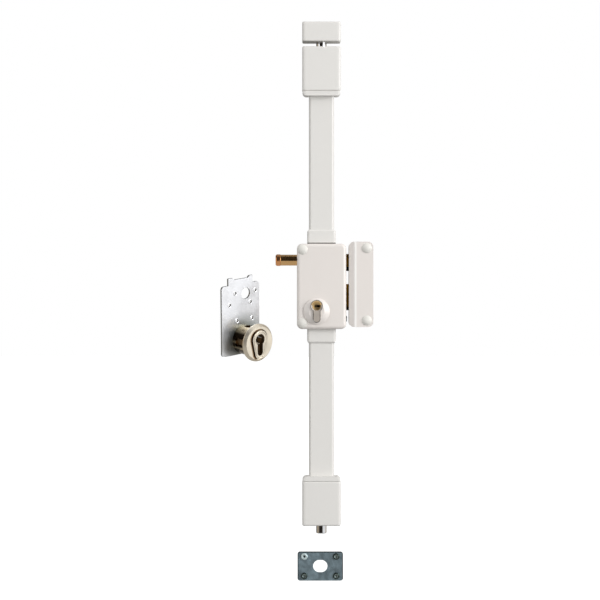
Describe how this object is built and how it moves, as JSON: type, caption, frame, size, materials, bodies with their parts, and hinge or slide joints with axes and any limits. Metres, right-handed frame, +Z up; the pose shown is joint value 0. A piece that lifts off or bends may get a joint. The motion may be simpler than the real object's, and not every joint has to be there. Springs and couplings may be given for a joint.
{
  "type": "surface mounted multipoint lock",
  "caption": "Surface mounted door lock with sprung latch, geared deadbolt, and rods to an upper and a lower bolt, with keeps, floor strike and cylinder guard set.",
  "frame": {"origin": "centre of the case's four mounting holes, on the door face", "axes": "+Z up along the rods, +Y into the door, -Y towards the viewer, +X towards the frame"},
  "size_m": [0.2315, 0.1003, 0.8549],
  "materials": {
    "painted_case": "white powder coat",
    "painted_trim": "white powder coat",
    "brass": "polished brass",
    "dark_brass": "polished, darker brass",
    "nickel": "satin nickel plate",
    "bright_steel": "ground and polished steel",
    "zinc_steel": "blue zinc plated steel",
    "gear_steel": "hobbed steel",
    "sprung_steel": "spring steel",
    "cap_metal": "white powder coat, smooth",
    "guard_steel": "light enamel",
    "guard_nickel": "satin nickel plate",
    "guide_nylon": "black nylon"
  },
  "bodies": {
    "root": {"case_backplate": "zinc_steel", "case_cover": "painted_case", "cylinder_escutcheon": "painted_trim", "case_screw_caps": "cap_metal", "cover_pillars": "zinc_steel", "cover_screws": "zinc_steel", "gear_studs": "gear_steel", "gear_clips": "sprung_steel", "bolt_bridge": "zinc_steel", "latch_bracket": "zinc_steel", "latch_spring": "sprung_steel", "cylinder_body": "nickel", "cylinder_screw": "zinc_steel", "top_keep_cover": "painted_trim", "top_keep_base": "zinc_steel", "side_keep_cover": "painted_case", "side_keep_base": "zinc_steel", "side_keep_caps": "cap_metal", "floor_strike": "zinc_steel", "floor_strike_screws": "zinc_steel", "guard_plate": "guard_steel", "guard_barrel": "guard_nickel", "guard_rose": "guard_nickel", "guard_insert": "guard_nickel", "guard_bolts": "bright_steel", "upper_collar": "painted_trim", "upper_rod_cover": "painted_trim", "upper_rod_guide": "guide_nylon", "upper_box": "painted_trim", "upper_box_cap": "painted_trim", "upper_box_base": "zinc_steel", "upper_bolt_guide": "guide_nylon", "lower_collar": "painted_trim", "lower_rod_cover": "painted_trim", "lower_rod_guide": "guide_nylon", "lower_box": "painted_trim", "lower_box_cap": "painted_trim", "lower_box_base": "zinc_steel", "lower_bolt_guide": "guide_nylon"},
    "key_drive": {"inner_plug": "brass", "cam": "gear_steel"},
    "outside_plug": {"outer_plug": "brass"},
    "idler": {"idler_gear": "gear_steel"},
    "wheel": {"drive_wheel": "gear_steel"},
    "deadbolt": {"deadbolt_head": "dark_brass", "deadbolt_rack": "zinc_steel", "deadbolt_rivets": "gear_steel"},
    "latch": {"latch_bolt": "brass", "latch_rod": "gear_steel", "pull_knob": "brass", "knob_cap": "brass"},
    "upper_rod_set": {"upper_rack": "gear_steel", "upper_rod": "zinc_steel", "upper_end_bolt": "bright_steel", "upper_rod_pins": "gear_steel"},
    "lower_rod_set": {"lower_rack": "gear_steel", "lower_rod": "zinc_steel", "lower_end_bolt": "bright_steel", "lower_rod_pins": "gear_steel"}
  },
  "joints": [
    {"name": "key_turn", "type": "hinge", "parent": "root", "child": "key_drive", "pos_m": [-0.0075, 0, -0.03], "axis": [0, -1, 0], "range_deg": [0, 360]},
    {"name": "outside_key_turn", "type": "hinge", "parent": "root", "child": "outside_plug", "pos_m": [-0.0075, 0, -0.03], "axis": [0, -1, 0], "range_deg": [0, 360]},
    {"name": "idler_turn", "type": "hinge", "parent": "root", "child": "idler", "pos_m": [-0.00472, 0, -0.01628], "axis": [0, -1, 0], "range_deg": [-360, 0]},
    {"name": "wheel_turn", "type": "hinge", "parent": "root", "child": "wheel", "pos_m": [0, 0, 0.00705], "axis": [0, -1, 0], "range_deg": [0, 150]},
    {"name": "deadbolt_slide", "type": "slide", "parent": "root", "child": "deadbolt", "axis": [-1, 0, 0], "range_m": [0, 0.01833]},
    {"name": "upper_rod_slide", "type": "slide", "parent": "root", "child": "upper_rod_set", "axis": [0, 0, -1], "range_m": [0, 0.01649]},
    {"name": "lower_rod_slide", "type": "slide", "parent": "root", "child": "lower_rod_set", "axis": [0, 0, 1], "range_m": [0, 0.01649]},
    {"name": "latch_slide", "type": "slide", "parent": "root", "child": "latch", "axis": [-1, 0, 0], "range_m": [0, 0.013], "stiffness_N_per_m": 600, "springref_m": -0.01, "deforming": ["latch_spring"]}
  ],
  "couplings": [
    {"joint": "key_turn", "follows": "deadbolt_slide", "rad_per_m": 342.86},
    {"joint": "idler_turn", "follows": "deadbolt_slide", "rad_per_m": -342.86},
    {"joint": "wheel_turn", "follows": "deadbolt_slide", "rad_per_m": 142.86},
    {"joint": "upper_rod_slide", "follows": "deadbolt_slide", "ratio": 0.9},
    {"joint": "lower_rod_slide", "follows": "deadbolt_slide", "ratio": 0.9}
  ]
}
